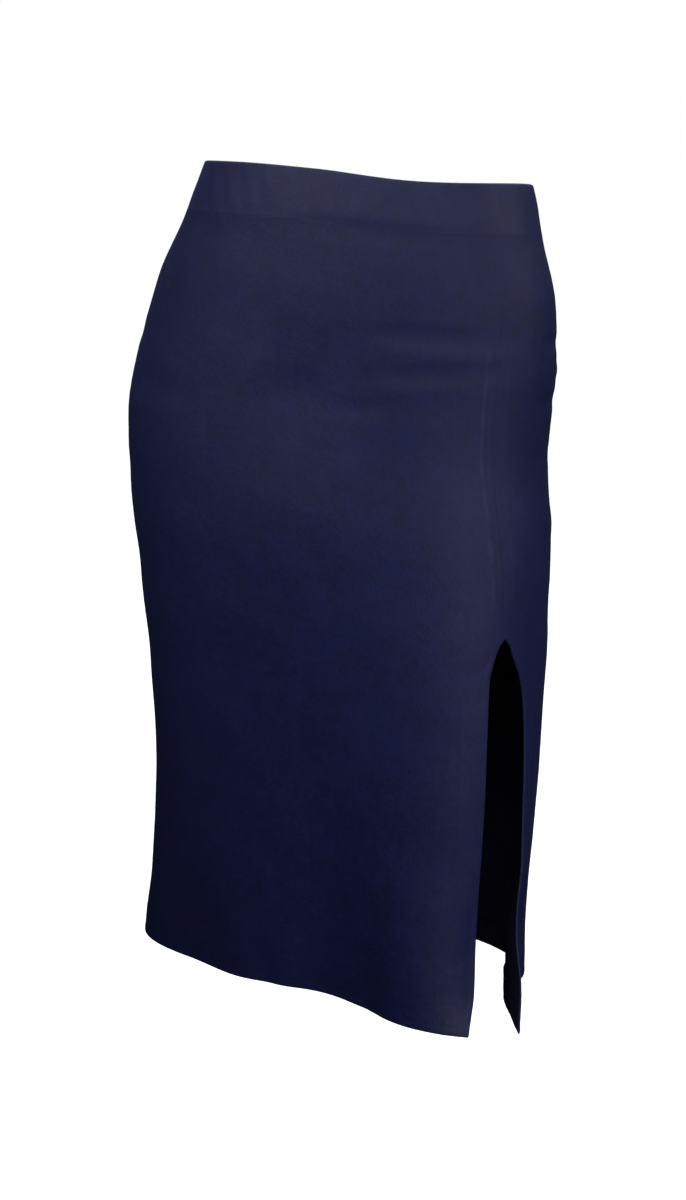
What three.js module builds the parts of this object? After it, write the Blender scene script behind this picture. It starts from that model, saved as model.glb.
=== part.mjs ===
// Pull-on pencil skirt with a slit at the wearer's left side seam, in the form it has when worn.
// Millimetres, +Z up. The front of the skirt faces -Y and the wearer's left is +X.
// The origin is the middle of the waist, where the wearer holds the skirt.
//
// Angles run round the skirt in degrees: 0 is the middle of the front, 90 the wearer's left.
// A drop is a distance down from the waist.
import * as THREE from 'three'

// Driving sizes
const LENGTH = 660
const CLOTH = 1.5
const BAND_DEPTH = 38
const BAND_CLOTH = 3
const BAND_PROUD = 0.4
const BAND_ROUNDING = 0.9
const SEAM_GAP = 0.3
const HEM_TURN_UP = 25
const SLIT_FACING = 22
const FOLD_STEP = 1
const SLIT_TOP = 342
const RIGHT_SEAM_ANGLE = -95

// How far the waist edge sits below the waist's plane: most at the back, and more on the slit side
const WAIST_EDGE_COLUMNS = ['angle', 'dip']
const WAIST_EDGE = [
  [-180, 11],
  [-135, 7],
  [-90, -1],
  [-40, -2],
  [5, 0],
  [50, 5],
  [90, 2.5],
  [130, 6],
  [180, 11],
]
const WAIST_DIP_FADE = 160

// Cross sections: half width, sideways shift, depth to the front and back, and squareness
const SECTION_COLUMNS = ['drop', 'half', 'shift', 'front', 'back', 'square']
const SECTIONS = [
  [0, 135, -3, 94, 94, 2.1],
  [40, 149, -6, 97, 99, 2.1],
  [90, 169, -11, 100, 108, 2.1],
  [150, 180, -18, 101.5, 118, 2.15],
  [200, 183, -23, 103.5, 122, 2.2],
  [260, 183, -17, 105, 119, 2.3],
  [330, 178, -8, 102, 111, 2.5],
  [420, 170, 1, 95, 102, 2.8],
  [520, 163, 6, 89, 96, 3.3],
  [600, 161, 6, 86, 94, 3.8],
  [LENGTH, 162, 6, 85, 93, 4.5],
]

// The side seam above the slit
const SEAM_COLUMNS = ['drop', 'angle']
const SEAM = [
  [0, 76],
  [70, 73.5],
  [140, 73],
  [220, 74],
  [270, 75],
  [SLIT_TOP, 76],
]

// The slit's two edges, and how far each swings out from the section
const SLIT_COLUMNS = ['drop', 'frontAngle', 'backAngle', 'frontFlare', 'backFlare']
const SLIT = [
  [SLIT_TOP, 76, 76, 0, 0],
  [348, 74.4, 77.8, 0, 0],
  [360, 73, 79.5, 0, 0],
  [375, 71.9, 82.5, 0, 0],
  [400, 71.7, 85.4, 0, 0.5],
  [465, 71.9, 88.2, 0, 4],
  [530, 72, 88.2, 0, 10],
  [595, 72.4, 84.7, 1, 19.5],
  [630, 71.8, 81.2, 5, 29.5],
  [LENGTH, 69, 76, 14, 38],
]
const FRONT_FLARE = { reach: 60, way: -49, sag: 3 }
const BACK_FLARE = { reach: 75, way: -10, sag: 0 }

// Soft folds: place, half size along the section in degrees and down the skirt in millimetres,
// lift outwards at the middle (inwards where negative), and fall of the fold per degree
const FOLD_COLUMNS = ['angle', 'drop', 'span', 'height', 'lift', 'fall']
const FOLDS = [
  // Creases drawn across the hip to the slit-side seam, troughs with a ridge between
  [61, 116, 24, 13, -1.2, 0],
  [58, 130, 20, 8, 0.1, -0.1],
  [60, 142, 25, 11, -0.7, -0.25],
  [54, 156, 20, 9, 0.2, -0.15],
  [38, 172, 30, 13, -0.5, -0.05],
  // Hollow below the waistband on the front
  [15, 174, 42, 84, -3.6, 0],
  // Front of the hem: ridge, valley and the ridge beside the slit
  [-27, 690, 22, 210, 5.5, 0],
  [25, 690, 31, 270, -10, 0],
  [56, 690, 15, 190, 9, 0],
  // Valley behind the slit's swung-out back edge
  [95, 612, 13, 80, -11, 0],
  // The other side and the back, which hang the same way
  [-108, 116, 26, 13, -1.4, 0.1],
  [-106, 132, 22, 11, 0.5, 0.1],
  [-109, 148, 27, 13, -1.5, 0],
  [-80, 690, 24, 180, 3, 0],
  [-140, 690, 20, 230, 6, 0],
  [180, 690, 26, 250, -8, 0],
  [136, 690, 18, 210, 5, 0],
  [180, 60, 30, 34, -2.5, 0],
  [168, 246, 50, 16, -2, 0.1],
]

// Rows of the panels, closer where a crease, the slit's arch or the hem needs them
const ROW_COLUMNS = ['from', 'to', 'steps']
const ROW_ZONES = [
  [BAND_DEPTH + SEAM_GAP, 98, 4],
  [98, 182, 12],
  [182, SLIT_TOP, 8],
  [SLIT_TOP, 351, 3],
  [351, 375, 3],
  [375, 400, 1],
  [400, LENGTH - HEM_TURN_UP - FOLD_STEP, 8],
  [LENGTH - HEM_TURN_UP - FOLD_STEP, LENGTH - HEM_TURN_UP, 1],
  [LENGTH - HEM_TURN_UP, LENGTH, 2],
]
const PANEL_STEPS = 26
const FINE_STEPS = 400
const BAND_STEPS = 56
const BAND_ROWS = [0, 1.5, 13, 25, BAND_DEPTH - 1, BAND_DEPTH]

const NAVY = 0x1f213d

const radians = THREE.MathUtils.degToRad

// Turns rows of bare values into objects with the columns' names
function named(columns, rows) {
  return rows.map((row) => Object.fromEntries(columns.map((name, i) => [name, row[i]])))
}

// A smooth curve through one column of a table, with no overshoot between its rows
function curve(table, along, name) {
  const xs = table.map((row) => row[along])
  const ys = table.map((row) => row[name])
  const last = xs.length - 1
  const slopes = xs.slice(1).map((x, i) => (ys[i + 1] - ys[i]) / (x - xs[i]))
  const tangents = xs.map((_, i) => {
    if (i === 0 || i === last) return slopes[i === 0 ? 0 : last - 1]
    const [before, after] = [slopes[i - 1], slopes[i]]
    return before * after <= 0 ? 0 : (2 * before * after) / (before + after)
  })
  return (x) => {
    const at = THREE.MathUtils.clamp(x, xs[0], xs[last])
    const i = Math.min(last - 1, xs.findLastIndex((start) => start <= at))
    const step = xs[i + 1] - xs[i]
    const t = (at - xs[i]) / step
    const [t2, t3] = [t * t, t * t * t]
    return (2 * t3 - 3 * t2 + 1) * ys[i] + (t3 - 2 * t2 + t) * step * tangents[i]
      + (3 * t2 - 2 * t3) * ys[i + 1] + (t3 - t2) * step * tangents[i + 1]
  }
}

const sections = named(SECTION_COLUMNS, SECTIONS)
const seam = named(SEAM_COLUMNS, SEAM)
const slit = named(SLIT_COLUMNS, SLIT)
const folds = named(FOLD_COLUMNS, FOLDS)
const size = Object.fromEntries(SECTION_COLUMNS.slice(1).map((name) => [name, curve(sections, 'drop', name)]))
const waistDip = curve(named(WAIST_EDGE_COLUMNS, WAIST_EDGE), 'angle', 'dip')
const seamAngle = curve(seam, 'drop', 'angle')
const edge = Object.fromEntries(SLIT_COLUMNS.slice(1).map((name) => [name, curve(slit, 'drop', name)]))

// A round bump that is 1 in the middle and fades to 0 at the distance 1
function bump(t) {
  return Math.abs(t) >= 1 ? 0 : (1 - t * t) ** 2
}

// The short way round between two angles
function turn(angle, from) {
  return ((angle - from + 540) % 360) - 180
}

function foldLift(angle, drop) {
  return folds.reduce((sum, fold) => {
    const away = turn(angle, fold.angle)
    const down = drop - fold.drop - fold.fall * away
    return sum + fold.lift * bump(away / fold.span) * bump(down / fold.height)
  }, 0)
}

// Outer point of the skirt's section, moved out by its folds and by "out"
function sectionPoint(angle, drop, out = 0) {
  const [side, ahead] = [Math.sin(radians(angle)), Math.cos(radians(angle))]
  const half = size.half(drop)
  const depth = ahead > 0 ? size.front(drop) : size.back(drop)
  const power = size.square(drop)
  const reach = (Math.abs(side / half) ** power + Math.abs(ahead / depth) ** power) ** (-1 / power)
  const [x, y] = [reach * side, -reach * ahead]
  const normal = new THREE.Vector2(
    Math.sign(x) * Math.abs(x / half) ** (power - 1) / half,
    Math.sign(y) * Math.abs(y / depth) ** (power - 1) / depth,
  ).normalize()
  const lift = foldLift(angle, drop) + out
  const dip = waistDip(turn(angle, 0)) * Math.max(0, 1 - drop / WAIST_DIP_FADE) ** 2
  return new THREE.Vector3(size.shift(drop) + x + normal.x * lift, y + normal.y * lift, -drop - dip)
}

// Swings a point out where it is near the slit edge of its panel
function flared(point, flare, amount, fromEdge) {
  const share = Math.max(0, 1 - fromEdge / flare.reach) ** 2
  const [x, y] = [Math.cos(radians(flare.way)), Math.sin(radians(flare.way))]
  point.x += amount * share * x
  point.y += amount * share * y
  point.z -= flare.sag * share * Math.min(1, amount / edge.frontFlare(LENGTH))
  return point
}

// Angles at even distances along the section between two angles
function evenAngles(from, to, steps, drop) {
  const samples = 240
  const angles = Array.from({ length: samples + 1 }, (_, i) => from + (to - from) * i / samples)
  const points = angles.map((angle) => sectionPoint(angle, drop))
  const along = [0]
  for (let i = 1; i <= samples; i++) along.push(along[i - 1] + points[i].distanceTo(points[i - 1]))
  const total = along[samples]
  const even = Array.from({ length: steps + 1 }, (_, k) => {
    const want = total * k / steps
    const i = Math.min(samples, Math.max(1, along.findIndex((length) => length >= want - 1e-9)))
    const t = (want - along[i - 1]) / (along[i] - along[i - 1])
    return angles[i - 1] + t * (angles[i] - angles[i - 1])
  })
  return { angles: even, total }
}

const SEAM_HALF_ANGLE = THREE.MathUtils.radToDeg(SEAM_GAP / 2 / size.half(SLIT_TOP))

// Each panel: its two edge angles at a drop, and the flare at its slit edge
const PANELS = {
  front_panel: {
    from: () => RIGHT_SEAM_ANGLE + SEAM_HALF_ANGLE,
    to: (drop) => (drop < SLIT_TOP ? seamAngle(drop) : edge.frontAngle(drop)) - SEAM_HALF_ANGLE,
    slitAtEnd: true,
    flare: FRONT_FLARE,
    amount: edge.frontFlare,
  },
  back_panel: {
    from: (drop) => (drop < SLIT_TOP ? seamAngle(drop) : edge.backAngle(drop)) + SEAM_HALF_ANGLE,
    to: () => 360 + RIGHT_SEAM_ANGLE - SEAM_HALF_ANGLE,
    slitAtEnd: false,
    flare: BACK_FLARE,
    amount: edge.backFlare,
  },
}

// Column places across a panel as shares of its width, with two at the edge of the slit facing
function columnShares(slitAtEnd, total) {
  const facing = SLIT_FACING / total
  const stepShare = FOLD_STEP / total
  const rest = Array.from({ length: PANEL_STEPS - 2 }, (_, i) => facing + stepShare
    + (1 - facing - stepShare) * i / (PANEL_STEPS - 3))
  const shares = [0, facing / 2, facing, ...rest]
  return slitAtEnd ? shares.map((share) => 1 - share).reverse() : shares
}

function panelRows() {
  const rows = [ROW_ZONES[0][0]]
  for (const zone of named(ROW_COLUMNS, ROW_ZONES)) {
    for (let i = 1; i <= zone.steps; i++) rows.push(zone.from + (zone.to - zone.from) * i / zone.steps)
  }
  return rows
}

// A panel's outer and inner grids of points. The cloth is double at the hem and at the slit edge.
function panelGrids(panel) {
  const outer = []
  const inner = []
  for (const drop of panelRows()) {
    const [from, to] = [panel.from(drop), panel.to(drop)]
    const fine = evenAngles(from, to, FINE_STEPS, drop)
    const shares = columnShares(panel.slitAtEnd, fine.total)
    const place = (share, down) => {
      const i = THREE.MathUtils.clamp(Math.floor(share * FINE_STEPS), 0, FINE_STEPS - 1)
      const angle = THREE.MathUtils.lerp(fine.angles[i], fine.angles[i + 1], share * FINE_STEPS - i)
      const fromEdge = (panel.slitAtEnd ? 1 - share : share) * fine.total
      return flared(sectionPoint(angle, down), panel.flare, panel.amount(down), fromEdge)
    }
    const [outerRow, innerRow] = [[], []]
    for (const share of shares) {
      const point = place(share, drop)
      const [low, high] = [Math.max(0, share - 0.004), Math.min(1, share + 0.004)]
      const across = place(high, drop).sub(place(low, drop))
      const down = place(share, drop + 1).sub(place(share, drop - 1))
      if (drop + 1 > LENGTH) down.copy(place(share, drop)).sub(place(share, drop - 1))
      const outward = new THREE.Vector3().crossVectors(down, across).normalize()
      const fromEdge = (panel.slitAtEnd ? 1 - share : share) * fine.total
      const double = drop >= LENGTH - HEM_TURN_UP - 1e-6
        || (drop > SLIT_TOP && fromEdge <= SLIT_FACING + 1e-6)
      outerRow.push(point)
      innerRow.push(point.clone().addScaledVector(outward, double ? -2 * CLOTH : -CLOTH))
    }
    outer.push(outerRow)
    inner.push(innerRow)
  }
  return { outer, inner }
}

// The waistband: self cloth folded over elastic, its top and bottom edges rounded
function bandGrids() {
  const outer = []
  const inner = []
  for (const drop of BAND_ROWS) {
    const { angles } = evenAngles(0, 360, BAND_STEPS, drop)
    const atEdge = drop === BAND_ROWS[0]
    const inset = atEdge ? BAND_ROUNDING : 0
    const ring = angles.slice(0, BAND_STEPS)
    outer.push(ring.map((angle) => sectionPoint(angle, drop, BAND_PROUD - inset)))
    inner.push(ring.map((angle) => sectionPoint(angle, drop, BAND_PROUD - BAND_CLOTH + inset)))
  }
  return { outer, inner }
}

// A closed solid between an outer and an inner grid. A ring's columns join up.
function wall({ outer, inner }, ring) {
  const rows = outer.length
  const columns = outer[0].length
  const points = [...outer.flat(), ...inner.flat()]
  const at = (row, column, side) => side * rows * columns + row * columns + (column % columns)
  const faces = []
  const quad = (a, b, c, d) => faces.push(a, b, c, a, c, d)
  const across = ring ? columns : columns - 1
  for (let row = 0; row < rows - 1; row++) {
    for (let column = 0; column < across; column++) {
      const next = column + 1
      quad(at(row, column, 0), at(row + 1, column, 0), at(row + 1, next, 0), at(row, next, 0))
      quad(at(row, column, 1), at(row, next, 1), at(row + 1, next, 1), at(row + 1, column, 1))
    }
  }
  for (let column = 0; column < across; column++) {
    const next = column + 1
    quad(at(0, column, 0), at(0, next, 0), at(0, next, 1), at(0, column, 1))
    quad(at(rows - 1, column, 0), at(rows - 1, column, 1), at(rows - 1, next, 1), at(rows - 1, next, 0))
  }
  for (let row = 0; row < rows - 1 && !ring; row++) {
    const end = columns - 1
    quad(at(row, 0, 0), at(row, 0, 1), at(row + 1, 0, 1), at(row + 1, 0, 0))
    quad(at(row, end, 0), at(row + 1, end, 0), at(row + 1, end, 1), at(row, end, 1))
  }
  const geometry = new THREE.BufferGeometry()
  geometry.setAttribute('position', new THREE.Float32BufferAttribute(points.flatMap((p) => p.toArray()), 3))
  geometry.setIndex(faces)
  geometry.computeVertexNormals()
  return geometry
}

function clothMesh(name, geometry) {
  const material = new THREE.MeshStandardMaterial({ color: NAVY, roughness: 0.88, metalness: 0 })
  const mesh = new THREE.Mesh(geometry, material)
  mesh.name = name
  return mesh
}

const skirt = new THREE.Group()
skirt.name = 'pencil_skirt'
for (const [name, panel] of Object.entries(PANELS)) skirt.add(clothMesh(name, wall(panelGrids(panel), false)))
skirt.add(clothMesh('waistband', wall(bandGrids(), true)))

export default skirt
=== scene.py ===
# Pull-on pencil skirt in its worn form: its cloth, seams, stitches, materials, light and camera.
# Sizes are in millimetres until a mesh is made, and angles in degrees. Angle 0 is the middle of the
# front, 90 the wearer's left, and a drop is a distance down from the waist.
import math

import bpy
import numpy as np
from mathutils import Matrix, Vector


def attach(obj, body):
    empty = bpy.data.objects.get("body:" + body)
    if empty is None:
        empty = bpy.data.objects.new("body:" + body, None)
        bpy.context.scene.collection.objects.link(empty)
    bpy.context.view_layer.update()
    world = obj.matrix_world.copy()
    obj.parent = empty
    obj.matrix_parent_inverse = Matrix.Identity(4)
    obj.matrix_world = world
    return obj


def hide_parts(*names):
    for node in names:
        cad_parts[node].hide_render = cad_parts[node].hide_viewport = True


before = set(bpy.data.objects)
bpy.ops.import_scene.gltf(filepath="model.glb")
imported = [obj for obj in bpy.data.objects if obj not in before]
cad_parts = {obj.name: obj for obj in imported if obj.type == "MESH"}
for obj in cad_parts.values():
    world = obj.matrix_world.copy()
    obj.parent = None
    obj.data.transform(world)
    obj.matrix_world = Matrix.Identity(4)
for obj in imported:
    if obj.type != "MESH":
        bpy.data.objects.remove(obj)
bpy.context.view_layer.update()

# Driving sizes, the solids' own
LENGTH = 660
BAND_DEPTH = 38
HEM_TURN_UP = 25
SLIT_FACING = 22
SLIT_TOP = 342
RIGHT_SEAM_ANGLE = -95
WAIST_DIP_FADE = 160

# Sizes of what is only shown here
CLOTH = 1.1
HEM_DOUBLE = 2.3
FACING_DOUBLE = 2.0
BAND_PROUD = 0.4
ALLOWANCE = 9
TUCK = 1.2
SEAM_PRESS = 0.05
SLIT_PRESSED_LINE = 8.8
SIDE_PRESSED_LINE = 8.6
EDGE_LINE = 2.6
THREAD = 0.16
THREAD_SEAT = 0.1
STITCH = 3.0
OVERLOCK = (0.6, 4.8)
PANEL_MM_PER_DEGREE = 2.9
BAND_MM_PER_DEGREE = 2.1
BAND_SEAM_ANGLES = (76, 265)

WAIST_EDGE_COLUMNS = ("angle", "dip")
WAIST_EDGE = (
    (-180, 11), (-135, 7), (-90, -1), (-40, -2), (5, 0), (50, 5), (90, 2.5), (130, 6), (180, 11),
)

SECTION_COLUMNS = ("drop", "half", "shift", "front", "back", "square")
SECTIONS = (
    (0, 135, -3, 94, 94, 2.1),
    (40, 149, -6, 97, 99, 2.1),
    (90, 169, -11, 100, 108, 2.1),
    (150, 180, -18, 101.5, 118, 2.15),
    (200, 183, -23, 103.5, 122, 2.2),
    (260, 183, -17, 105, 119, 2.3),
    (330, 178, -8, 102, 111, 2.5),
    (420, 170, 1, 95, 102, 2.8),
    (520, 163, 6, 89, 96, 3.3),
    (600, 161, 6, 86, 94, 3.8),
    (LENGTH, 162, 6, 85, 93, 4.5),
)

SEAM_COLUMNS = ("drop", "angle")
SEAM = ((0, 76), (70, 73.5), (140, 73), (220, 74), (270, 75), (SLIT_TOP, 76))

# The slit's two edges, and how far each swings out from the section
SLIT_COLUMNS = ("drop", "front_angle", "back_angle", "front_flare", "back_flare")
SLIT = (
    (SLIT_TOP, 76, 76, 0, 0),
    (348, 74.4, 77.8, 0, 0),
    (360, 73, 79.5, 0, 0),
    (375, 71.9, 82.5, 0, 0),
    (400, 71.7, 85.4, 0, 0.5),
    (465, 71.9, 88.2, 0, 4),
    (530, 72, 88.2, 0, 10),
    (595, 72.4, 84.7, 1, 19.5),
    (630, 71.8, 81.2, 5, 29.5),
    (LENGTH, 69, 76, 14, 38),
)
FRONT_FLARE = {"reach": 60, "way": -49, "sag": 3}
BACK_FLARE = {"reach": 75, "way": -10, "sag": 0}

# Soft folds: place, half size along the section and down the skirt, lift outwards, fall per degree
FOLD_COLUMNS = ("angle", "drop", "span", "height", "lift", "fall")
FOLDS = (
    (61, 116, 24, 13, -1.2, 0),
    (58, 130, 20, 8, 0.1, -0.1),
    (60, 142, 25, 11, -0.7, -0.25),
    (54, 156, 20, 9, 0.2, -0.15),
    (38, 172, 30, 13, -0.5, -0.05),
    (15, 174, 42, 84, -3.6, 0),
    (-27, 690, 22, 210, 5.5, 0),
    (25, 690, 31, 270, -10, 0),
    (56, 690, 15, 190, 9, 0),
    (95, 612, 13, 80, -11, 0),
    (-108, 116, 26, 13, -1.4, 0.1),
    (-106, 132, 22, 11, 0.5, 0.1),
    (-109, 148, 27, 13, -1.5, 0),
    (-80, 690, 24, 180, 3, 0),
    (-140, 690, 20, 230, 6, 0),
    (180, 690, 26, 250, -8, 0),
    (136, 690, 18, 210, 5, 0),
    (180, 60, 30, 34, -2.5, 0),
    (168, 246, 50, 16, -2, 0.1),
)

# Finer ripples of the cloth, the same way: the front, the slit side, the other side and the back
RIPPLES = (
    (8, 162, 20, 22, -0.6, 0),
    (45, 115, 11, 11, -0.55, 0),
    (20, 160, 14, 14, -0.25, 0.2),
    (34, 150, 10, 11, -0.25, -0.3),
    (58, 196, 17, 7, -0.14, 0.1),
    (36, 206, 20, 9, -0.16, 0.05),
    (56, 226, 18, 6, -0.12, 0.15),
    (71, 227, 3, 5, -0.3, 0),
    (44, 244, 18, 7, -0.12, -0.1),
    (52, 276, 20, 7, -0.13, 0.03),
    (28, 290, 20, 9, -0.15, 0.06),
    (50, 306, 18, 8, -0.14, -0.05),
    (12, 96, 20, 12, -0.25, 0.15),
    (-18, 150, 26, 24, 0.7, 0.3),
    (-52, 176, 24, 18, -0.8, 0.25),
    (-66, 236, 22, 16, 0.6, 0.3),
    (-74, 140, 14, 12, -0.7, 0.3),
    (-58, 330, 26, 26, -0.8, 0.5),
    (-40, 420, 22, 40, 0.7, 0.8),
    (8, 470, 18, 60, -0.7, 0.6),
    (48, 560, 10, 60, 0.8, -0.5),
    (-10, 600, 9, 60, 0.9, 0.3),
    (-52, 610, 10, 70, -0.9, 0.4),
    (70, 640, 8, 40, 0.6, 0),
    (96, 120, 14, 9, -1.1, 0.2),
    (104, 142, 16, 8, 0.8, 0.15),
    (100, 165, 18, 10, -1.0, 0.1),
    (112, 210, 22, 12, -0.7, 0.2),
    (104, 262, 20, 14, 0.6, 0.1),
    (98, 330, 14, 26, -0.9, 0.4),
    (118, 420, 16, 60, 0.9, 0.8),
    (102, 560, 9, 70, -1.0, 0.3),
    (150, 88, 18, 10, -0.9, 0.25),
    (205, 96, 20, 9, -0.8, -0.25),
    (176, 214, 34, 9, -0.9, 0.12),
    (196, 234, 28, 8, 0.7, -0.1),
    (158, 262, 30, 10, -0.8, 0.15),
    (204, 288, 26, 12, -0.7, -0.1),
    (182, 320, 24, 16, 0.6, 0.1),
    (150, 480, 14, 80, -1.0, 0.7),
    (210, 500, 15, 90, 1.0, -0.6),
    (232, 190, 18, 14, -0.9, -0.3),
    (240, 330, 16, 40, 0.8, -0.5),
    (228, 600, 10, 70, -0.9, -0.3),
)


def column_curve(columns, rows, along, name):
    """A smooth curve through one column of a table, with no overshoot between its rows."""
    xs = np.array([row[columns.index(along)] for row in rows], float)
    ys = np.array([row[columns.index(name)] for row in rows], float)
    slopes = np.diff(ys) / np.diff(xs)
    before, after = slopes[:-1], slopes[1:]
    both = np.where(before * after > 0, before + after, 1.0)
    middle = np.where(before * after > 0, 2 * before * after / both, 0.0)
    tangents = np.concatenate([slopes[:1], middle, slopes[-1:]])

    def at(x):
        x = np.clip(np.asarray(x, float), xs[0], xs[-1])
        i = np.clip(np.searchsorted(xs, x, side="right") - 1, 0, len(xs) - 2)
        step = xs[i + 1] - xs[i]
        t = (x - xs[i]) / step
        return ((2 * t**3 - 3 * t**2 + 1) * ys[i] + (t**3 - 2 * t**2 + t) * step * tangents[i]
                + (3 * t**2 - 2 * t**3) * ys[i + 1] + (t**3 - t**2) * step * tangents[i + 1])

    return at


SIZE = {name: column_curve(SECTION_COLUMNS, SECTIONS, "drop", name) for name in SECTION_COLUMNS[1:]}
EDGE = {name: column_curve(SLIT_COLUMNS, SLIT, "drop", name) for name in SLIT_COLUMNS[1:]}
waist_dip = column_curve(WAIST_EDGE_COLUMNS, WAIST_EDGE, "angle", "dip")
seam_angle = column_curve(SEAM_COLUMNS, SEAM, "drop", "angle")


def bump(t):
    """1 in the middle, fading to 0 at the distance 1."""
    return np.where(np.abs(t) < 1, (1 - np.clip(t, -1, 1) ** 2) ** 2, 0.0)


def smooth(low, high, x):
    t = np.clip((x - low) / (high - low), 0, 1)
    return t * t * (3 - 2 * t)


def turn(angle, start):
    return (angle - start + 540) % 360 - 180


def fold_lift(angle, drop):
    total = np.zeros(np.broadcast(angle, drop).shape)
    for row in FOLDS + RIPPLES:
        fold = dict(zip(FOLD_COLUMNS, row))
        away = turn(angle, fold["angle"])
        below = drop - fold["drop"] - fold["fall"] * away
        total += fold["lift"] * bump(away / fold["span"]) * bump(below / fold["height"])
    return total


def section_point(angle, drop, out=0.0):
    """Outer point of the skirt's section, moved out by its folds and by "out"."""
    angle, drop, out = np.broadcast_arrays(np.asarray(angle, float), np.asarray(drop, float), out)
    side, ahead = np.sin(np.radians(angle)), np.cos(np.radians(angle))
    half, power = SIZE["half"](drop), SIZE["square"](drop)
    depth = np.where(ahead > 0, SIZE["front"](drop), SIZE["back"](drop))
    reach = (np.abs(side / half) ** power + np.abs(ahead / depth) ** power) ** (-1 / power)
    x, y = reach * side, -reach * ahead
    nx = np.sign(x) * np.abs(x / half) ** (power - 1) / half
    ny = np.sign(y) * np.abs(y / depth) ** (power - 1) / depth
    scale = (fold_lift(angle, drop) + out) / np.hypot(nx, ny)
    dip = waist_dip(turn(angle, 0)) * np.maximum(0, 1 - drop / WAIST_DIP_FADE) ** 2
    return np.stack([SIZE["shift"](drop) + x + nx * scale, y + ny * scale, -drop - dip], -1)


def flared(points, flare, amount, from_edge):
    """Swings points out where they are near the slit edge of their panel."""
    share = np.maximum(0, 1 - from_edge / flare["reach"]) ** 2
    way = math.radians(flare["way"])
    fall = flare["sag"] * share * np.minimum(1, amount / EDGE["front_flare"](LENGTH))
    moved = np.stack([amount * share * math.cos(way), amount * share * math.sin(way), -fall], -1)
    return points + moved


def wavy(seed, count, shortest, longest):
    """A seeded smooth unevenness over two distances in millimetres, about -1 to 1."""
    chance = np.random.default_rng(seed)
    length = shortest * (longest / shortest) ** chance.random(count)
    way = chance.random(count) * math.tau
    start = chance.random(count) * math.tau

    def at(u, v):
        total = np.zeros(np.broadcast(u, v).shape)
        for size, angle, phase in zip(length, way, start):
            total += np.sin(math.tau * (u * math.cos(angle) + v * math.sin(angle)) / size + phase)
        return total / math.sqrt(count)

    return at


slow_waves = wavy(3, 9, 45, 120)
small_waves = wavy(8, 14, 7, 16)


def band_groove(angle, drop):
    """The soft groove where the band is sewn on, deepest over the slit-side front."""
    place = turn(angle, 0)
    depth = 0.04 + 0.44 * smooth(-10, 10, place) * (1 - smooth(68, 84, place))
    depth += 0.2 * bump(turn(angle, 150) / 50)
    return depth * bump((drop - BAND_DEPTH) / np.where(drop < BAND_DEPTH, 6.5, 15))


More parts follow.
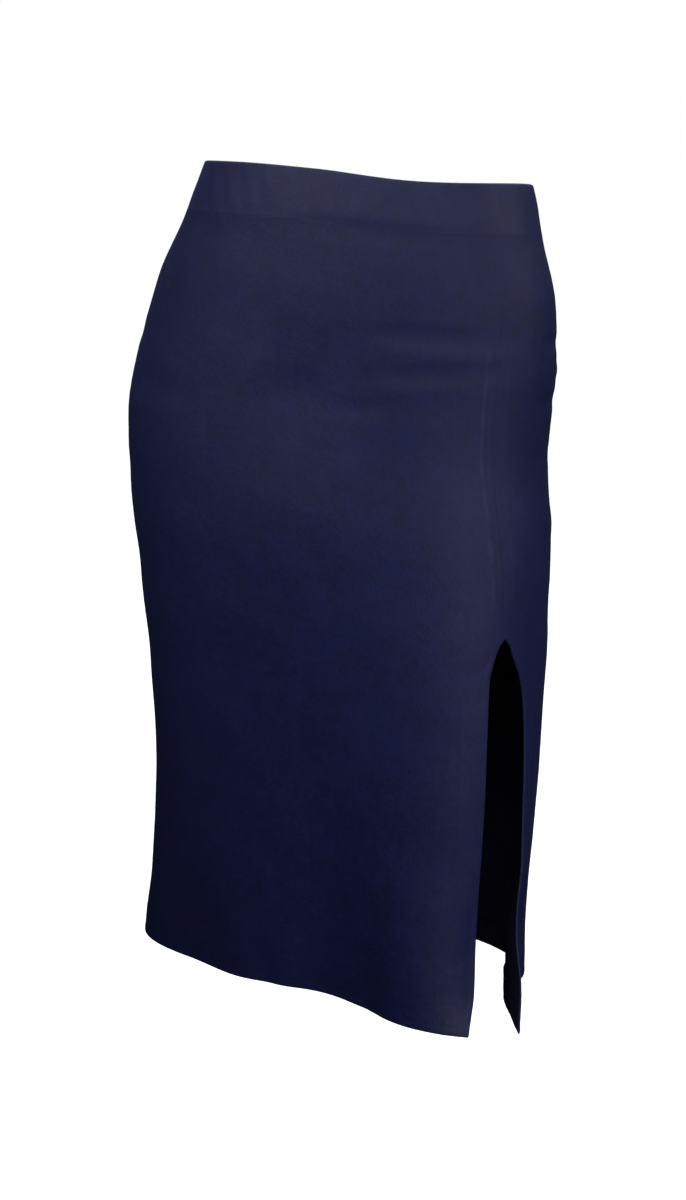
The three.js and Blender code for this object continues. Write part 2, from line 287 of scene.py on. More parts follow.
class Panel:
    """One of the two panels: a share from 0 to 1 goes across it towards the rising angle."""

    step = 2.0
    fine = 400

    def __init__(self, start, end, slit_at_end, flare, amount):
        self.start, self.end, self.slit_at_end = start, end, slit_at_end
        self.flare, self.amount = flare, amount
        drops = np.arange(0, LENGTH + self.step, self.step)
        shares = np.linspace(0, 1, self.fine + 1)
        low, high = start(drops)[:, None], end(drops)[:, None]
        points = section_point(low + (high - low) * shares, drops[:, None])
        pieces = np.linalg.norm(np.diff(points, axis=1), axis=2)
        along = np.concatenate([np.zeros((len(drops), 1)), np.cumsum(pieces, axis=1)], 1)
        self.drops, self.totals = drops, along[:, -1]
        self.progress = np.stack([np.interp(shares, row / row[-1], shares) for row in along])

    def width(self, drop):
        return np.interp(drop, self.drops, self.totals)

    def angle(self, share, drop):
        row = np.clip(drop / self.step, 0, len(self.drops) - 1.0001)
        column = np.clip(share * self.fine, 0, self.fine - 0.0001)
        i, j = row.astype(int), column.astype(int)
        t, u = row - i, column - j
        p = self.progress
        progress = ((p[i, j] * (1 - u) + p[i, j + 1] * u) * (1 - t)
                    + (p[i + 1, j] * (1 - u) + p[i + 1, j + 1] * u) * t)
        low, high = self.start(drop), self.end(drop)
        return low + (high - low) * progress

    def from_slit(self, share, drop):
        return (1 - share if self.slit_at_end else share) * self.width(drop)

    def point(self, share, drop, lift=0.0):
        angle = self.angle(share, drop)
        return flared(section_point(angle, drop, lift), self.flare, self.amount(drop),
                      self.from_slit(share, drop))

    def outward(self, share, drop):
        low, high = np.clip(share - 0.004, 0, 1), np.clip(share + 0.004, 0, 1)
        under = np.minimum(drop + 1, LENGTH)
        across = self.point(high, drop) - self.point(low, drop)
        down = self.point(share, under) - self.point(share, under - 2)
        way = np.cross(down, across)
        return way / np.linalg.norm(way, axis=-1, keepdims=True)

    def relief(self, share, drop):
        """Fine form of the outer face: seams, pressed edges, the hem and the cloth's unevenness."""
        slit = self.from_slit(share, drop)
        other = self.width(drop) - slit
        angle = self.angle(share, drop)
        free = smooth(0, 18, other) * smooth(BAND_DEPTH, BAND_DEPTH + 18, drop)
        along = angle * PANEL_MM_PER_DEGREE
        lift = free * (0.22 * slow_waves(along, drop) + 0.035 * small_waves(along, drop))
        closed = 1 - smooth(SLIT_TOP - 6, SLIT_TOP, drop)
        closed *= 0.05 + 0.1 * smooth(225, 255, drop)
        lift -= closed * np.exp(-slit / 1.5) + 0.13 * np.exp(-other / 1.5)
        lift += BAND_PROUD * np.exp(-np.maximum(0, drop - BAND_DEPTH) / 9)
        lift -= 0.9 * (1 - smooth(BAND_DEPTH - 1.1, BAND_DEPTH - 0.1, drop))
        lift -= band_groove(angle, drop)
        if self.slit_at_end:
            pressed = smooth(120, 165, drop) * (1 - smooth(296, 330, drop))
            uneven = 0.7 + 0.3 * small_waves(drop * 0.5, 0 * slit)
            lift += pressed * uneven * (0.3 * bump((slit - SLIT_PRESSED_LINE) / 2.8)
                                        + 0.1 * bump((slit - EDGE_LINE) / 2))
        open_slit = smooth(SLIT_TOP + 2, SLIT_TOP + 18, drop)
        lift += open_slit * (0.3 * bump((slit - 3) / 3.4) + 0.16 * bump((slit - SLIT_FACING) / 2.2))
        up = LENGTH - drop
        dimple = 0.5 + 0.5 * np.cos(math.tau * other / 7.5)
        lift += 0.25 * bump((up - 3) / 4) + 0.1 * bump((up - HEM_TURN_UP + 3) / 7)
        lift -= 0.14 * dimple**3 * bump((up - HEM_TURN_UP + 3) / 1.8)
        return lift

    def pressed(self, share, drop):
        """Where the iron or a hand has left the cloth smoother, 0 to 1: paler by wear, with a painted
        sheen on the pressed lines.
        """
        slit = self.from_slit(share, drop)
        other = self.width(drop) - slit
        uneven = 0.62 + 0.38 * small_waves(drop * 0.5, slit * 0.8)
        above = smooth(90, 170, drop) * (1 - smooth(288, 322, drop))
        wide = 2 + 1.2 * bump((drop - 262) / 40)
        lines = bump((slit - SLIT_PRESSED_LINE) / wide) + 0.3 * bump((slit - EDGE_LINE) / 1.8)
        # The pale marks here are part wear and part painted sheen, along the pressed lines, the seam and
        # slit edges and the hem's fold.
        wear_and_sheen = above * lines * uneven * (1.0 if self.slit_at_end else 0.35)
        lines = bump((other - SIDE_PRESSED_LINE) / 2.2) + bump((other - EDGE_LINE) / 1.8)
        wear_and_sheen = wear_and_sheen + 0.3 * lines * uneven
        wear_and_sheen += 0.45 * smooth(SLIT_TOP + 10, SLIT_TOP + 60, drop) * bump(slit / 3.2)
        up = LENGTH - drop
        wear_and_sheen += 0.34 * bump(up / 3) + 0.04 * bump((up - HEM_TURN_UP) / 3) * uneven
        return np.clip(wear_and_sheen, 0, 1)

    def thickness(self, share, drop):
        slit = self.from_slit(share, drop)
        hem = (HEM_DOUBLE - CLOTH) * smooth(LENGTH - HEM_TURN_UP - 0.8, LENGTH - HEM_TURN_UP, drop)
        facing = ((FACING_DOUBLE - CLOTH) * (1 - smooth(SLIT_FACING, SLIT_FACING + 0.8, slit))
                  * smooth(SLIT_TOP - 14, SLIT_TOP - 12, drop))
        return CLOTH + np.maximum(hem, facing)

    def at(self, share, drop, depth=0.0):
        """Points at a depth under the outer face."""
        share, drop, depth = np.broadcast_arrays(np.asarray(share, float), np.asarray(drop, float), depth)
        outer = self.point(share, drop, self.relief(share, drop))
        return outer - self.outward(share, drop) * depth[..., None]

    def inside(self, from_slit, drop, proud=0.0):
        """Points on the inner face at a distance from the slit edge, raised towards the wearer."""
        share = from_slit / self.width(drop)
        share = np.clip(1 - share if self.slit_at_end else share, 0, 1)
        return self.at(share, drop, self.thickness(share, drop) + proud)


# The sewn edges press into each other a little, so that no light comes through a seam
SEAM_HALF_ANGLE = math.degrees(-SEAM_PRESS / 178)


def slit_edge(name):
    return lambda drop: np.where(drop < SLIT_TOP, seam_angle(drop), EDGE[name](drop))


front = Panel(
    start=lambda drop: RIGHT_SEAM_ANGLE + SEAM_HALF_ANGLE + 0 * drop,
    end=lambda drop: slit_edge("front_angle")(drop) - SEAM_HALF_ANGLE,
    slit_at_end=True, flare=FRONT_FLARE, amount=EDGE["front_flare"],
)
back = Panel(
    start=lambda drop: slit_edge("back_angle")(drop) + SEAM_HALF_ANGLE,
    end=lambda drop: 360 + RIGHT_SEAM_ANGLE - SEAM_HALF_ANGLE + 0 * drop,
    slit_at_end=False, flare=BACK_FLARE, amount=EDGE["back_flare"],
)

# Distances from an edge at which the shells have a line of points, so that the edge comes out round
EDGE_LINES = (0, 0.06, 0.22, 0.5, 0.85, 1.3, 1.9, 2.6, 3.4, 4.3, 5.4, 6.6, 7.4, 8, 8.6, 9.2, 9.9, 10.8,
              12.6, 15)
ROW_COLUMNS = ("from", "to", "step")
ROW_ZONES = ((53, 96, 3.2), (96, 182, 2.4), (182, 336, 3.1), (336, 352, 1), (352, 376, 2),
             (376, 632, 3.2), (632, 642, 1.2))


def panel_rows():
    rows = [BAND_DEPTH - TUCK, BAND_DEPTH - 0.6] + [BAND_DEPTH + d for d in EDGE_LINES[:-1]]
    for row in ROW_ZONES:
        zone = dict(zip(ROW_COLUMNS, row))
        rows += list(np.arange(zone["from"], zone["to"] - zone["step"] / 2, zone["step"]))
    return np.array(rows + [LENGTH - d for d in EDGE_LINES[::-1]])


def panel_shares(panel, drop, middle=116):
    """Shares of a panel's width for its lines of points, close together at both edges."""
    near = np.array(EDGE_LINES + (17.6, 20.5, 21.6, 22.2, 22.8, 24, 27)) / panel.width(drop)
    far = np.array(EDGE_LINES) / panel.width(drop)
    between = np.linspace(near[-1], 1 - far[-1], middle + 2)[1:-1]
    shares = np.concatenate([near, between, 1 - far[::-1]])
    return 1 - shares[::-1] if panel.slit_at_end else shares


def round_depth(panel, share, drop, thickness):
    """How far the outer face falls in at the panel's own edges, half the thickness at the very edge."""
    radius = thickness / 2
    slit = panel.from_slit(share, drop)
    sewn = 5
    open_slit = smooth(SLIT_TOP - 1, SLIT_TOP + 4, drop)
    edges = (slit * (sewn + (1 - sewn) * open_slit), (panel.width(drop) - slit) * sewn, LENGTH - drop,
             (drop - BAND_DEPTH + TUCK) * sewn)
    nearest = np.minimum.reduce([np.broadcast_to(e, share.shape) for e in edges])
    inset = radius - np.clip(nearest, 0, radius)
    return radius - np.sqrt(np.maximum(0, radius**2 - inset**2))


def add_mesh(name, points, faces, materials, face_material=None, uv=None, pressed=None):
    """A mesh object of points in millimetres, smooth, with its materials and the cloth's own plane."""
    mesh = bpy.data.meshes.new(name)
    mesh.from_pydata((np.asarray(points) / 1000).tolist(), [], [tuple(f) for f in faces])
    for material in materials:
        mesh.materials.append(material)
    mesh.polygons.foreach_set("use_smooth", np.ones(len(mesh.polygons), bool))
    if face_material is not None:
        mesh.polygons.foreach_set("material_index", np.asarray(face_material, np.int32))
    if uv is not None:
        layer = mesh.uv_layers.new(name="cloth")
        corners = np.empty(len(mesh.loops), np.int32)
        mesh.loops.foreach_get("vertex_index", corners)
        layer.data.foreach_set("uv", (np.asarray(uv)[corners] / 1000).astype(np.float32).ravel())
    # The pressed marks, part wear and part painted sheen, go to the shader as a point attribute.
    if pressed is not None:
        layer = mesh.attributes.new("pressed", "FLOAT", "POINT")
        layer.data.foreach_set("value", np.asarray(pressed, np.float32))
    mesh.update()
    made = bpy.data.objects.new(name, mesh)
    bpy.context.scene.collection.objects.link(made)
    return made


class Build:
    """Gathers grids and tubes into one mesh, with the material of each face."""

    def __init__(self):
        self.points, self.uv, self.faces, self.kinds, self.pressed = [], [], [], [], []
        self.count = 0

    def add(self, points, uv, faces, kind, pressed=0.0):
        self.points.append(np.asarray(points, float).reshape(-1, 3))
        self.uv.append(np.asarray(uv, float).reshape(-1, 2))
        self.faces.append(np.asarray(faces, int) + self.count)
        self.kinds.append(np.full(len(faces), kind) if np.isscalar(kind) else np.asarray(kind))
        self.pressed.append(np.broadcast_to(pressed, len(self.points[-1])))
        self.count += len(self.points[-1])

    def shell(self, outer, inner, uv, outside=0, inside=1, pressed=0.0):
        """A closed shell from an outer and an inner grid that share their border."""
        rows, columns = outer.shape[:2]
        index = np.arange(rows * columns).reshape(rows, columns)
        hidden = index.copy()
        hidden[1:-1, 1:-1] = rows * columns + np.arange((rows - 2) * (columns - 2)).reshape(rows - 2, -1)
        points = np.concatenate([outer.reshape(-1, 3), inner[1:-1, 1:-1].reshape(-1, 3)])
        flat = np.concatenate([uv.reshape(-1, 2), uv[1:-1, 1:-1].reshape(-1, 2)])

        def quads(grid, flip):
            a, b, c, d = grid[:-1, :-1], grid[1:, :-1], grid[1:, 1:], grid[:-1, 1:]
            order = (a, d, c, b) if flip else (a, b, c, d)
            return np.stack([x.ravel() for x in order], 1)

        seen, back_side = quads(index, False), quads(hidden, True)
        kinds = np.concatenate([np.full(len(seen), outside), np.full(len(back_side), inside)])
        wear_and_sheen = np.zeros(len(points))
        wear_and_sheen[:rows * columns] = np.broadcast_to(pressed, (rows, columns)).ravel()
        self.add(points, flat, np.concatenate([seen, back_side]), kinds, wear_and_sheen)

    def tube(self, path, radius, kind, sides=5):
        """A thin thread along a path of points, its ends narrowed to a fifth of its radius and left open.
        """
        path = np.asarray(path, float)
        ahead = np.gradient(path, axis=0)
        ahead /= np.maximum(np.linalg.norm(ahead, axis=1, keepdims=True), 1e-9)
        helper = np.where(np.abs(ahead[:, 2:3]) < 0.8, [[0, 0, 1.0]], [[1.0, 0, 0]])
        first = np.cross(ahead, helper)
        first /= np.linalg.norm(first, axis=1, keepdims=True)
        second = np.cross(ahead, first)
        turns = np.arange(sides) * math.tau / sides
        ring = (first[:, None] * np.cos(turns)[:, None] + second[:, None] * np.sin(turns)[:, None])
        size = np.full(len(path), radius)
        size[[0, -1]] = radius * 0.2
        points = path[:, None] + ring * size[:, None, None]
        index = np.arange(len(path) * sides).reshape(len(path), sides)
        after = np.roll(index, -1, axis=1)
        faces = np.stack([index[:-1], after[:-1], after[1:], index[1:]], -1).reshape(-1, 4)
        self.add(points, np.zeros((points.size // 3, 2)), faces, kind)

    def make(self, name, materials):
        faces = np.concatenate(self.faces)
        return add_mesh(name, np.concatenate(self.points), faces.tolist(), materials,
                        np.concatenate(self.kinds), np.concatenate(self.uv), np.concatenate(self.pressed))


def cloth_uv(panel, share, drop):
    across = panel.from_slit(share, drop)
    return np.stack([across if panel is back else -across, -np.broadcast_to(drop, across.shape)], -1)


def panel_shell(build, panel):
    rows = panel_rows()
    share = np.stack([panel_shares(panel, drop) for drop in rows])
    drop = np.broadcast_to(rows[:, None], share.shape)
    thickness = panel.thickness(share, drop)
    fall = round_depth(panel, share, drop, thickness)
    face = panel.point(share, drop, panel.relief(share, drop))
    outward = panel.outward(share, drop)
    outer = face - outward * fall[..., None]
    inner = face - outward * (thickness - fall)[..., None]
    build.shell(outer, inner, cloth_uv(panel, share, drop), pressed=panel.pressed(share, drop))


def strip(build, panel, from_slit, drop, thickness, seat=0.15):
    """A flat strip of cloth on a panel's inner face, given by grids of distances and drops."""
    share = from_slit / panel.width(drop)
    share = np.clip(1 - share if panel.slit_at_end else share, 0, 1)
    rows, columns = share.shape
    edge = np.minimum.outer(np.minimum(np.arange(rows), np.arange(rows)[::-1]),
                            np.minimum(np.arange(columns), np.arange(columns)[::-1]))
    pinch = np.where(edge == 0, 0.5, np.where(edge == 1, 0.12, 0.0)) * thickness
    ground = panel.thickness(share, drop) + seat
    low = panel.at(share, drop, ground + pinch)
    high = panel.at(share, drop, ground + thickness - pinch)
    if panel.slit_at_end:
        low, high, share, drop = low[:, ::-1], high[:, ::-1], share[:, ::-1], drop[:, ::-1]
    build.shell(low, high, cloth_uv(panel, share, drop), outside=1, inside=1)


def zigzag(build, place, start, end, pitch, low, high, kind=2):
    """An overlock edge: a thread that runs to and fro between two distances from an edge."""
    count = int(abs(end - start) / pitch * 2)
    along = np.linspace(start, end, count)
    swing = np.where(np.arange(count) % 2 == 0, low, high)
    build.tube(place(along, swing), THREAD, kind, sides=4)


def seam_allowance(build, panel, at_slit, top, bottom):
    """The pressed-open allowance of a side seam, with its overlocked edge, on the inner face."""
    drops = np.arange(top, bottom, 4.0)
    lines = np.array([0.3, 0.7, 2, 4.2, 6.6, ALLOWANCE - 0.9, ALLOWANCE - 0.4, ALLOWANCE])
    chance = np.random.default_rng(17 if at_slit else 29)
    wander = 0.5 * np.sin(drops / 23 + chance.random() * 6) + 0.3 * np.sin(drops / 9.1)
    distance = lines[None, :] + wander[:, None] * (lines[None, :] / ALLOWANCE) ** 2
    drop = np.broadcast_to(drops[:, None], distance.shape)
    from_slit = distance if at_slit else panel.width(drop) - distance
    if not at_slit:
        from_slit, drop = from_slit[:, ::-1], drop[:, ::-1]
    strip(build, panel, from_slit, drop, 0.9)

    def place(along, swing):
        from_edge = swing if at_slit else panel.width(along) - swing
        return panel.inside(from_edge, along, 1.25)

    zigzag(build, place, top + 2, bottom - 2, STITCH, ALLOWANCE - 4.2, ALLOWANCE + 0.2)
    for distance in (ALLOWANCE - 4.0, ALLOWANCE - 0.3):
        along = np.arange(top + 2, bottom - 2, 2.5)
        build.tube(place(along, np.full(len(along), distance)), THREAD, 2, sides=4)


def hem_threads(build, panel):
    """The overlocked edge of the hem's turn-up and of the slit's facings."""
    up = LENGTH - HEM_TURN_UP

    def hem_place(along, swing):
        return panel.inside(along, up + swing, THREAD_SEAT)

    wide = float(panel.width(up))
    zigzag(build, hem_place, SLIT_FACING, wide - 2, STITCH, *OVERLOCK)
    along = np.arange(SLIT_FACING, wide - 2, 2.5)
    build.tube(hem_place(along, np.full(len(along), 4.6)), THREAD, 2, sides=4)

    def facing_place(along, swing):
        return panel.inside(SLIT_FACING - swing, along, THREAD_SEAT)

    zigzag(build, facing_place, SLIT_TOP - 10, up - 2, STITCH, *OVERLOCK)
    along = np.arange(SLIT_TOP - 10, up - 2, 2.5)
    build.tube(facing_place(along, np.full(len(along), 4.6)), THREAD, 2, sides=4)


# The waistband's profile: drop, and depth under its outer face, once round its thickness
BAND_COLUMNS = ("drop", "depth")
BAND_PROFILE = (
    (0.0, 1.5), (0.1, 0.95), (0.42, 0.45), (0.95, 0.12), (1.7, 0), (3.2, -0.06), (6, -0.14), (10, -0.22),
    (15, -0.28), (20, -0.3), (25, -0.26), (29, -0.18), (32, -0.1), (34.4, -0.02), (36.4, 0.02),
    (37.7, 0.03), (38.0, 0.07), (38.1, 0.4), (38.05, 1.3), (37.9, 2.2), (37.2, 2.7), (36.2, 2.95),
    (34.6, 3.0), (31, 3.02), (26, 3.05), (19, 3.08), (12, 3.06), (6, 3.02), (2.4, 3.0), (1.1, 2.85),
    (0.42, 2.5), (0.1, 2.05),
)
BAND_STEPS = 300
BAND_SEAM_LINES = (-1, -0.5, -0.25, 0.25, 0.5, 1)


def build_band(build):
    angles = np.arange(BAND_STEPS) * 360 / BAND_STEPS
    extra = [seam + step for seam in BAND_SEAM_ANGLES for step in BAND_SEAM_LINES]
    angles = np.sort(np.concatenate([angles, extra]))
    angle, profile = np.meshgrid(angles, np.arange(len(BAND_PROFILE)))
    drop, depth = (np.array([row[BAND_COLUMNS.index(name)] for row in BAND_PROFILE])[profile]
                   for name in BAND_COLUMNS)
    around = (angle - BAND_SEAM_ANGLES[1]) % 360 * BAND_MM_PER_DEGREE
    outside = (depth < 1.5) * 1.0
    puff = 0.16 * small_waves(around * 0.45, drop * 0.3) + 0.16 * slow_waves(around, drop * 1.5)
    seam = np.zeros(angle.shape)
    for at in BAND_SEAM_ANGLES:
        away = np.abs(turn(angle, at)) * BAND_MM_PER_DEGREE
        seam += -0.35 * np.exp(-away / 1.1) + 0.12 * bump((away - 3) / 2.6)
    out = BAND_PROUD - depth + (puff + seam) * outside * bump((drop - 19) / 24) + 0.2 * seam * outside
    out -= band_groove(angle, drop) * outside
    points = section_point(angle, drop, out)
    rows, columns = angle.shape
    index = np.arange(rows * columns).reshape(rows, columns)
    under, beside = np.roll(index, -1, axis=0), np.roll(index, -1, axis=1)
    corner = np.roll(under, -1, axis=1)
    faces = np.stack([index, under, corner, beside], -1).reshape(-1, 4)
    kinds = np.where((depth > 1.2) & (drop > 2), 1, 0).ravel()
    build.add(points, np.stack([around, -drop], -1), faces, kinds)


def navy(name, tone, rough, grain, level):
    """A double-knit crepe: mottled navy with faint upright streaks and a pebbled grain."""
    material = bpy.data.materials.new(name)
    material.use_nodes = True
    nodes, links = material.node_tree.nodes, material.node_tree.links
    shader = nodes["Principled BSDF"]
    shader.inputs["Roughness"].default_value = rough
    shader.inputs["Specular IOR Level"].default_value = level
    plane = nodes.new("ShaderNodeUVMap")
    plane.uv_map = "cloth"

    def noise(scale, stretch, detail, rough_detail=0.55):
        mapping = nodes.new("ShaderNodeMapping")
        mapping.inputs["Scale"].default_value = (stretch[0], stretch[1], 1)
        links.new(plane.outputs["UV"], mapping.inputs["Vector"])
        texture = nodes.new("ShaderNodeTexNoise")
        texture.inputs["Scale"].default_value = scale
        texture.inputs["Detail"].default_value = detail
        texture.inputs["Roughness"].default_value = rough_detail
        links.new(mapping.outputs["Vector"], texture.inputs["Vector"])
        return texture.outputs["Fac"]

    def mix(factor, low, high, kind="MIX"):
        node = nodes.new("ShaderNodeMix")
        node.data_type, node.blend_type = "RGBA", kind
        for socket, value in ((node.inputs[0], factor), (node.inputs[6], low), (node.inputs[7], high)):
            if isinstance(value, (int, float, tuple)):
                socket.default_value = value
            else:
                links.new(value, socket)
        return node.outputs[2]

    def shade(gain):
        return tuple(c * gain for c in tone) + (1,)

    def spread(socket, low, high):
        node = nodes.new("ShaderNodeMapRange")
        for name, value in (("From Min", low), ("From Max", high)):
            node.inputs[name].default_value = value
        links.new(socket, node.inputs["Value"])
        return node.outputs["Result"]

    mottle = spread(noise(230, (1, 0.85), 5, 0.66), 0.33, 0.67)
    streaks = spread(noise(240, (1, 0.06), 2), 0.3, 0.7)
    cloud = spread(noise(22, (1, 0.7), 3, 0.6), 0.3, 0.7)
    color = mix(mottle, shade(0.46), shade(1.58))
    color = mix(0.4, color, mix(spread(noise(85, (1, 0.9), 3, 0.6), 0.32, 0.68), shade(0.3), shade(1.78)))
    color = mix(0.15, color, mix(streaks, shade(0.6), shade(1.4)))
    color = mix(0.35, color, mix(cloud, shade(0.72), shade(1.3)))
    # Lighter where the pressed marks are: part wear, part a painted sheen along the pressed lines, edges
    # and hem.
    wear_and_sheen = nodes.new("ShaderNodeAttribute")
    wear_and_sheen.attribute_name = "pressed"
    color = mix(wear_and_sheen.outputs["Fac"], color, (tone[0] + 0.011, tone[1] + 0.011, tone[2] + 0.02, 1))
    links.new(color, shader.inputs["Base Color"])

    pebble = nodes.new("ShaderNodeTexVoronoi")
    pebble.inputs["Scale"].default_value = 1350
    stretch = nodes.new("ShaderNodeMapping")
    stretch.inputs["Scale"].default_value = (1, 0.72, 1)
    links.new(plane.outputs["UV"], stretch.inputs["Vector"])
    links.new(stretch.outputs["Vector"], pebble.inputs["Vector"])
    fine = nodes.new("ShaderNodeBump")
    fine.inputs["Strength"].default_value = 0.55
    fine.inputs["Distance"].default_value = grain
    links.new(pebble.outputs["Distance"], fine.inputs["Height"])
    uneven = nodes.new("ShaderNodeBump")
    uneven.inputs["Strength"].default_value = 0.5
    uneven.inputs["Distance"].default_value = grain * 2.2
    links.new(noise(420, (1, 0.5), 3), uneven.inputs["Height"])
    links.new(fine.outputs["Normal"], uneven.inputs["Normal"])
    links.new(uneven.outputs["Normal"], shader.inputs["Normal"])
    return material


outside_cloth = navy("navy_crepe", (0.004, 0.0059, 0.0468), 0.6, 0.00016, 0.29)
inside_cloth = navy("navy_crepe_inside", (0.0055, 0.007, 0.032), 0.85, 0.00022, 0.2)
band_cloth = navy("navy_crepe_band", (0.0047, 0.0068, 0.0502), 0.58, 0.00015, 0.34)


def thread_material():
    material = bpy.data.materials.new("navy_thread")
    material.use_nodes = True
    nodes, links = material.node_tree.nodes, material.node_tree.links
    shader = nodes["Principled BSDF"]
    shader.inputs["Roughness"].default_value = 0.5
    shader.inputs["Specular IOR Level"].default_value = 0.4
    place = nodes.new("ShaderNodeTexCoord")
    twist = nodes.new("ShaderNodeTexWave")
    twist.inputs["Scale"].default_value = 900
    twist.inputs["Distortion"].default_value = 1.5
    links.new(place.outputs["Object"], twist.inputs["Vector"])
    ramp = nodes.new("ShaderNodeValToRGB")
    ramp.color_ramp.elements[0].color = (0.006, 0.008, 0.026, 1)
    ramp.color_ramp.elements[1].color = (0.014, 0.017, 0.052, 1)
    links.new(twist.outputs["Fac"], ramp.inputs["Fac"])
    links.new(ramp.outputs["Color"], shader.inputs["Base Color"])
    return material


thread = thread_material()


def make_panel(name, node, panel):
    build = Build()
    panel_shell(build, panel)
    seam_allowance(build, panel, True, BAND_DEPTH + 2, SLIT_TOP - 4)
    seam_allowance(build, panel, False, BAND_DEPTH + 2, LENGTH - HEM_TURN_UP + 2)
    hem_threads(build, panel)
    piece = build.make(name, [outside_cloth, inside_cloth, thread])
    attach(piece, "root")
    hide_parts(node)
    return piece


front_piece = make_panel("front_cloth", "front_panel", front)
back_piece = make_panel("back_cloth", "back_panel", back)

band = Build()
build_band(band)
band_piece = band.make("waistband_cloth", [band_cloth, inside_cloth])
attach(band_piece, "root")
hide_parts("waistband")


def stage_plane(name, size, place, material):
    """A flat square that belongs to the setting and not to the skirt."""
    mesh = bpy.data.meshes.new(name)
    s = size / 2
    mesh.from_pydata([(-s, -s, 0), (s, -s, 0), (s, s, 0), (-s, s, 0)], [], [(0, 1, 2, 3)])
    mesh.materials.append(material)
    made = bpy.data.objects.new(name, mesh)
    made.location = place
    bpy.context.scene.collection.objects.link(made)
    return made


floor_material = bpy.data.materials.new("pale_floor")
floor_material.use_nodes = True
nodes, links = floor_material.node_tree.nodes, floor_material.node_tree.links
lit = nodes["Principled BSDF"]
lit.inputs["Base Color"].default_value = (0.9, 0.9, 0.9, 1)
lit.inputs["Roughness"].default_value = 0.95
lit.inputs["Specular IOR Level"].default_value = 0.1
lit.inputs["Emission Color"].default_value = (1, 1, 1, 1)
place = nodes.new("ShaderNodeTexCoord")
far = nodes.new("ShaderNodeVectorMath")
far.operation = "LENGTH"
links.new(place.outputs["Object"], far.inputs[0])
glow = nodes.new("ShaderNodeMapRange")
for socket, value in (("From Min", 0.5), ("From Max", 2.6), ("To Min", 0.72), ("To Max", 1.0)):
    glow.inputs[socket].default_value = value
links.new(far.outputs["Value"], glow.inputs["Value"])
links.new(glow.outputs["Result"], lit.inputs["Emission Strength"])
dull = nodes.new("ShaderNodeBsdfDiffuse")
rays = nodes.new("ShaderNodeLightPath")
unseen = nodes.new("ShaderNodeMapRange")
unseen.inputs["To Min"].default_value, unseen.inputs["To Max"].default_value = 0.22, 0.03
links.new(rays.outputs["Is Glossy Ray"], unseen.inputs["Value"])
links.new(unseen.outputs["Result"], dull.inputs["Color"])
seen = nodes.new("ShaderNodeMixShader")
links.new(rays.outputs["Is Camera Ray"], seen.inputs["Fac"])
links.new(dull.outputs["BSDF"], seen.inputs[1])
links.new(lit.outputs["BSDF"], seen.inputs[2])
links.new(seen.outputs["Shader"], nodes["Material Output"].inputs["Surface"])
stage_plane("floor", 60, (0, 0, -1.045), floor_material)


# Soft lights in metres, degrees and watts, each aimed at a point
LIGHT_COLUMNS = ("name", "azimuth", "distance", "height", "size", "aim", "spread", "power")
LIGHTS = (
    ("side", 100, 1.2, 0.3, 0.8, (0, 0, -0.2), 170, 4.0),
    ("front_left", -20, 1.3, 0.45, 0.7, (0.02, 0, -0.04), 50, 0.82),
    ("over_camera", 28, 1.05, 0.75, 0.6, (0, 0, -0.1), 60, 0.96),
    ("low_right", 57, 1.2, -0.22, 0.6, (0.08, -0.05, -0.54), 62, 0.93),
    ("left", -50, 1.3, 0.3, 0.7, (-0.05, 0, -0.2), 38, 0.27),
    ("back_right", 160, 1.5, 1.9, 1.0, (0, 0, -0.3), 180, 26),
    ("back_left", 238, 1.5, 1.9, 1.0, (0, 0, -0.3), 180, 28),
)


def area_light(name, azimuth, distance, height, size, aim, spread, power):
    data = bpy.data.lights.new(name, "AREA")
    data.size, data.energy, data.spread = size, power, math.radians(spread)
    light = bpy.data.objects.new(name, data)
    turned = math.radians(azimuth)
    light.location = (math.sin(turned) * distance, -math.cos(turned) * distance, height)
    light.rotation_euler = (Vector(aim) - light.location).to_track_quat("-Z", "Y").to_euler()
    bpy.context.scene.collection.objects.link(light)


for row in LIGHTS:
    area_light(**dict(zip(LIGHT_COLUMNS, row)))

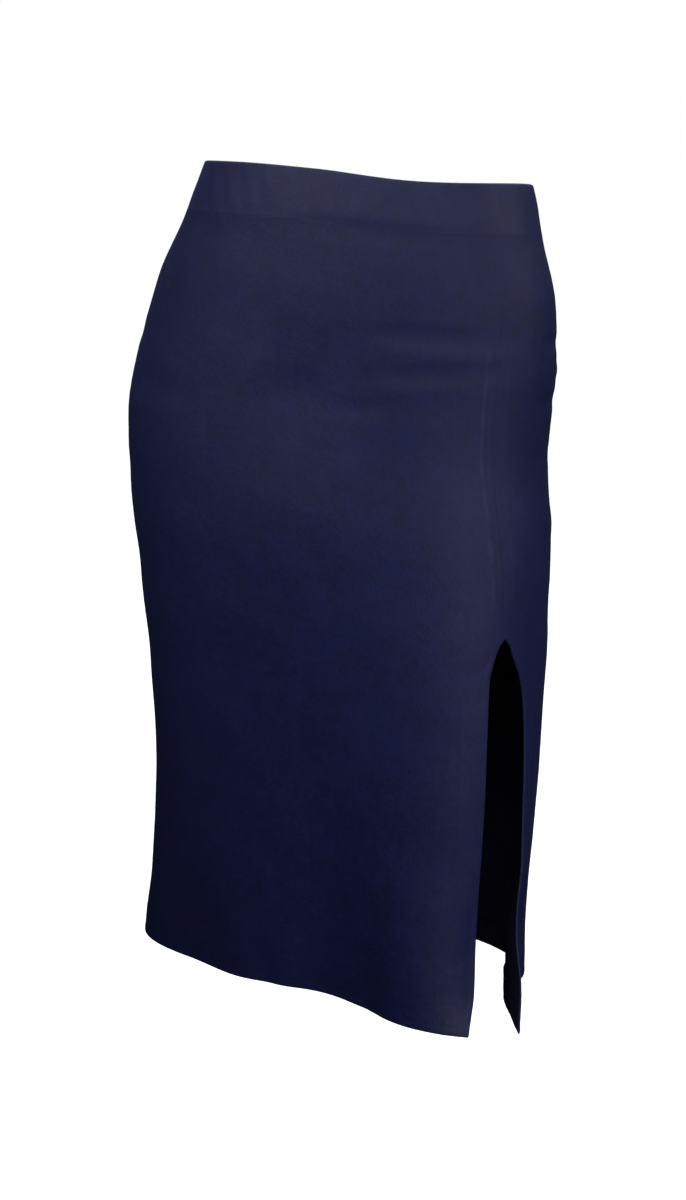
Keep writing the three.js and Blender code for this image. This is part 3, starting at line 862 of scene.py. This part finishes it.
world = bpy.data.worlds.new("studio")
bpy.context.scene.world = world
world.use_nodes = True
nodes, links = world.node_tree.nodes, world.node_tree.links
backdrop = nodes["Background"]
backdrop.inputs["Color"].default_value = (1, 1, 1, 1)
backdrop.inputs["Strength"].default_value = 1.0
soft = nodes.new("ShaderNodeBackground")
soft.inputs["Color"].default_value = (1, 1, 1, 1)
soft.inputs["Strength"].default_value = 0.03
rays = nodes.new("ShaderNodeLightPath")
chosen = nodes.new("ShaderNodeMixShader")
links.new(rays.outputs["Is Camera Ray"], chosen.inputs["Fac"])
links.new(soft.outputs["Background"], chosen.inputs[1])
links.new(backdrop.outputs["Background"], chosen.inputs[2])
links.new(chosen.outputs["Shader"], nodes["World Output"].inputs["Surface"])

scene = bpy.context.scene
scene.view_settings.view_transform = "Standard"
scene.view_settings.look = "None"

# Camera: where it stands, what it aims at, its roll and its lens, which set the outline in the picture
AZIMUTH, DISTANCE, ROLL, LENS = 28, 1.400, 3.2, 52.08
EYE_HEIGHT, AIM_HEIGHT, AIM_SIDE = -0.002, -0.346, -0.002
turned = math.radians(AZIMUTH)
eye = Vector((math.sin(turned) * DISTANCE, -math.cos(turned) * DISTANCE, EYE_HEIGHT))
side = Vector((math.cos(turned), math.sin(turned), 0))
ahead = (Vector((0, 0, AIM_HEIGHT)) + side * AIM_SIDE - eye).normalized()
right = ahead.cross(Vector((0, 0, 1))).normalized()
up = right.cross(ahead)
roll = math.radians(ROLL)
rolled_right = right * math.cos(roll) + up * math.sin(roll)
rolled_up = up * math.cos(roll) - right * math.sin(roll)
camera_data = bpy.data.cameras.new("camera")
camera_data.lens, camera_data.sensor_width = LENS, 36
camera = bpy.data.objects.new("camera", camera_data)
camera.matrix_world = Matrix((
    (rolled_right.x, rolled_up.x, -ahead.x, eye.x),
    (rolled_right.y, rolled_up.y, -ahead.y, eye.y),
    (rolled_right.z, rolled_up.z, -ahead.z, eye.z),
    (0, 0, 0, 1),
))
scene.collection.objects.link(camera)
scene.camera = camera

bpy.context.view_layer.update()
